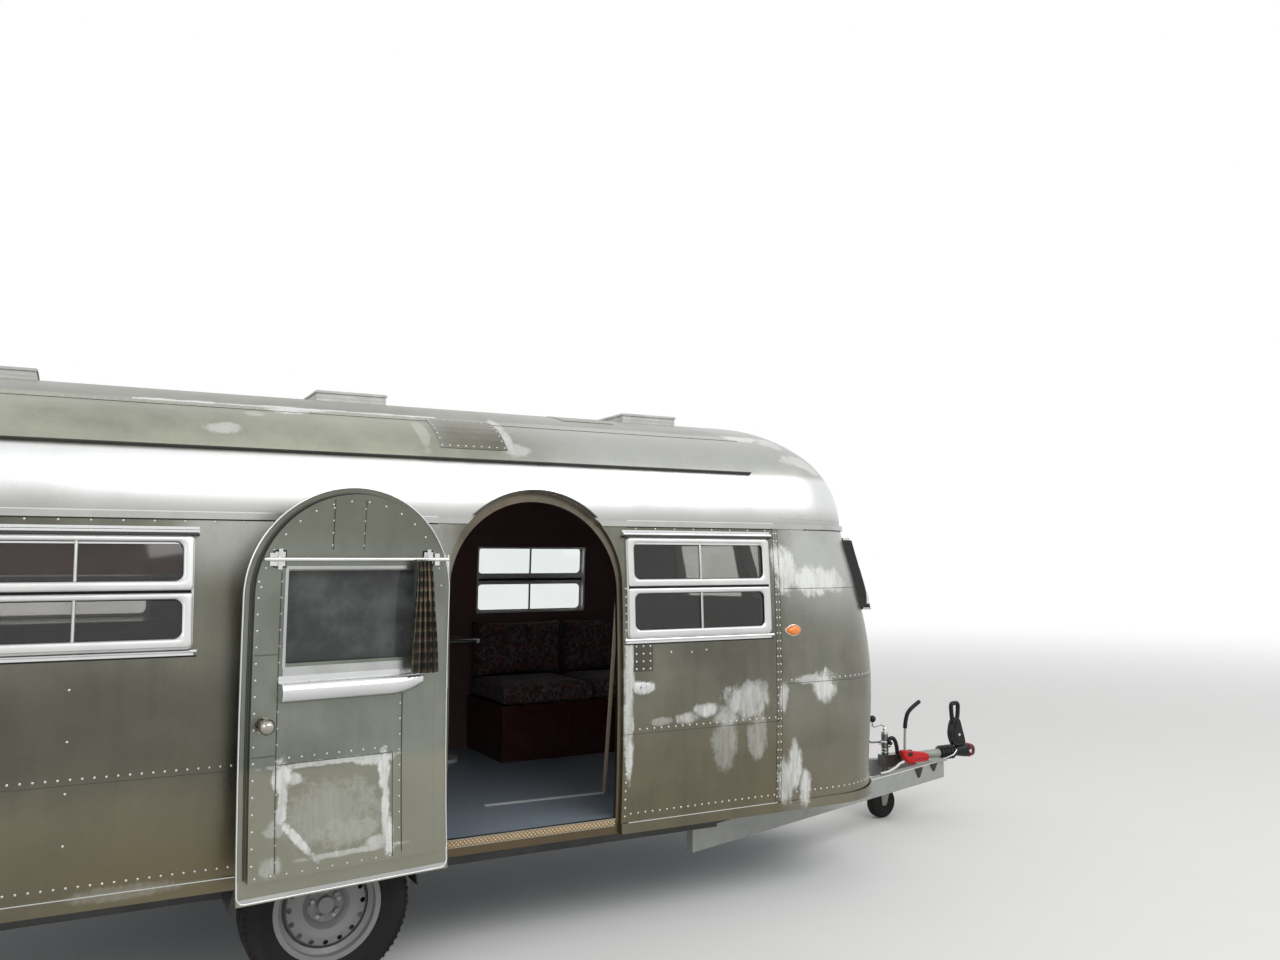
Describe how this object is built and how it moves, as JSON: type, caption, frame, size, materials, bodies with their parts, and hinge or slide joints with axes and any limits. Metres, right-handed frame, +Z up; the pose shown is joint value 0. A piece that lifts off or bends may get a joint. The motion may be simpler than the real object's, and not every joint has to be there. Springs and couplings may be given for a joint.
{
  "type": "travel caravan",
  "caption": "Vintage riveted aluminium travel caravan with an arched entrance door standing open, drawbar and overrun coupling.",
  "frame": {"origin": "centre of the tow ball in the coupling's socket", "axes": "+X forward to the tow end, +Y left, away from the entrance side, +Z up"},
  "size_m": [7.2715, 2.5537, 2.633],
  "materials": {
    "aluminium_skin": "aged brushed aluminium sheet with polished patches",
    "polished_trim": "polished aluminium mouldings",
    "white_frames": "white and polished window frames",
    "window_glass": "clear glass",
    "chrome": "chrome",
    "galvanised": "galvanised steel",
    "black_steel": "black painted steel",
    "wheel_silver": "silver painted steel wheel",
    "tyre": "black tyre",
    "red_plastic": "red plastic",
    "black_plastic": "black plastic",
    "black_rubber": "black rubber",
    "amber_lens": "amber lens",
    "red_lens": "red lens",
    "floor_covering": "blue-grey floor covering",
    "plaid_cloth": "plaid curtain cloth",
    "patterned_cloth": "patterned cushion cloth",
    "dark_wood": "dark red-brown wood",
    "table_top": "table board with a light edge",
    "white_lid": "pale vent lid"
  },
  "bodies": {
    "body": {"roof_centre": "aluminium_skin", "front_roof_end": "aluminium_skin", "rear_roof_end": "aluminium_skin", "front_end": "aluminium_skin", "rear_end": "aluminium_skin", "end_window_frames": "polished_trim", "end_window_glass": "window_glass", "belt_moulding": "polished_trim", "bottom_trim": "polished_trim", "door_surround": "polished_trim", "side_window_frames": "white_frames", "side_window_sashes": "white_frames", "side_window_glass": "window_glass", "rain_ledges": "polished_trim", "vent_frames": "white_lid", "hinge_brackets": "polished_trim", "marker_lamps": "amber_lens", "rear_lamps": "red_lens", "floor_deck": "floor_covering", "wheel_boxes": "galvanised", "main_rails": "galvanised", "cross_members": "galvanised", "axle_beam": "galvanised", "suspension_arms": "galvanised", "overrun_housing": "black_steel", "overrun_tube": "galvanised", "overrun_bellows": "black_rubber", "coupling_head": "black_steel", "coupling_handle": "black_plastic", "handbrake_lever": "black_plastic", "lever_cover": "red_plastic", "jockey_post": "galvanised", "jockey_crank": "chrome", "bench": "dark_wood", "bench_cushions": "patterned_cloth", "table": "table_top", "cabinet": "dark_wood", "side_wall_right": "aluminium_skin", "side_wall_left": "aluminium_skin", "drawbar_left": "galvanised", "drawbar_right": "galvanised"},
    "entrance_door": {"door_panel": "aluminium_skin", "door_glass": "window_glass", "door_knob": "chrome", "curtain_rod": "chrome", "sill_tray": "polished_trim", "curtain": "plaid_cloth", "hinge_leaves": "polished_trim"},
    "road_wheel_left": {"tyre_left": "tyre", "wheel_left": "wheel_silver", "brake_drum_left": "black_steel"},
    "road_wheel_right": {"tyre_right": "tyre", "wheel_right": "wheel_silver", "brake_drum_right": "black_steel"},
    "jockey_swivel": {"jockey_fork": "galvanised"},
    "jockey_roller": {"jockey_wheel": "black_rubber"},
    "vent_1": {"vent_lid_1": "white_lid"},
    "vent_2": {"vent_lid_2": "white_lid"},
    "vent_3": {"vent_lid_3": "white_lid"}
  },
  "joints": [
    {"name": "door_hinge", "type": "hinge", "parent": "body", "child": "entrance_door", "pos_m": [-4.25, -1.145, 0.87], "axis": [0, 0, 1], "range_deg": [0, 172]},
    {"name": "wheel_left_spin", "type": "hinge", "parent": "body", "child": "road_wheel_left", "pos_m": [-4.72, 1, -0.04], "axis": [0, 1, 0], "continuous": true},
    {"name": "wheel_right_spin", "type": "hinge", "parent": "body", "child": "road_wheel_right", "pos_m": [-4.72, -1, -0.04], "axis": [0, 1, 0], "continuous": true},
    {"name": "jockey_swivel_turn", "type": "hinge", "parent": "body", "child": "jockey_swivel", "pos_m": [-0.69, 0.06, -0.12], "axis": [0, 0, 1], "continuous": true},
    {"name": "jockey_wheel_spin", "type": "hinge", "parent": "jockey_swivel", "child": "jockey_roller", "pos_m": [-0.735, 0.06, -0.275], "axis": [0, 1, 0], "continuous": true},
    {"name": "vent_1_hinge", "type": "hinge", "parent": "body", "child": "vent_1", "pos_m": [-2.884, 0, 2.23875], "axis": [0, -1, 0], "range_deg": [0, 60]},
    {"name": "vent_2_hinge", "type": "hinge", "parent": "body", "child": "vent_2", "pos_m": [-4.644, 0, 2.23875], "axis": [0, -1, 0], "range_deg": [0, 60]},
    {"name": "vent_3_hinge", "type": "hinge", "parent": "body", "child": "vent_3", "pos_m": [-6.234, 0, 2.23875], "axis": [0, -1, 0], "range_deg": [0, 60]}
  ]
}
